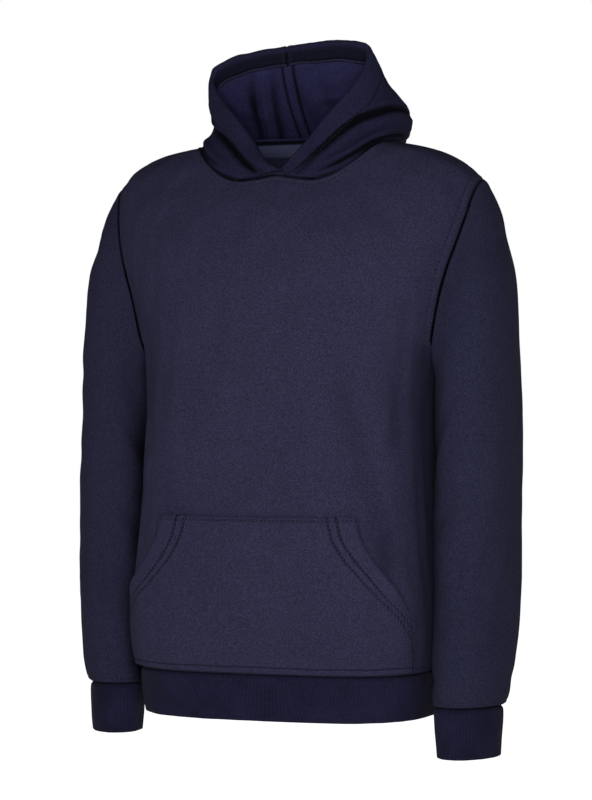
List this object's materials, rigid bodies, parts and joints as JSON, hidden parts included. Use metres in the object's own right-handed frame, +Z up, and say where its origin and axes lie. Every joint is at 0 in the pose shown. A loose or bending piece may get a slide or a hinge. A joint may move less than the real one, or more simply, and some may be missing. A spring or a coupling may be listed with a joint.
{
  "type": "toddler hoodie",
  "caption": "Plain navy pullover hoodie for a toddler, worn shape, with a standing lined hood, kangaroo pocket, rib waistband and rib cuffs.",
  "frame": {"origin": "between the tops of the shoulders, where the garment hangs on its wearer: on the middle plane, level with the high points of the shoulder seams beside the neck", "axes": "+Z up along the garment's length, -Y towards its front, +X towards the wearer's left"},
  "size_m": [0.3568, 0.1993, 0.542],
  "materials": {
    "fleece": "matte, lightly napped fleece jersey",
    "hood_lining": "matte fleece jersey",
    "rib": "matte, fine vertical rib"
  },
  "bodies": {
    "root": {"front": "fleece", "back": "fleece", "sleeve_left": "fleece", "sleeve_right": "fleece", "hood_left": "fleece", "hood_right": "fleece", "hood_lining_left": "hood_lining", "hood_lining_right": "hood_lining", "pocket": "fleece", "waistband": "rib", "cuff_left": "rib", "cuff_right": "rib"}
  },
  "joints": []
}
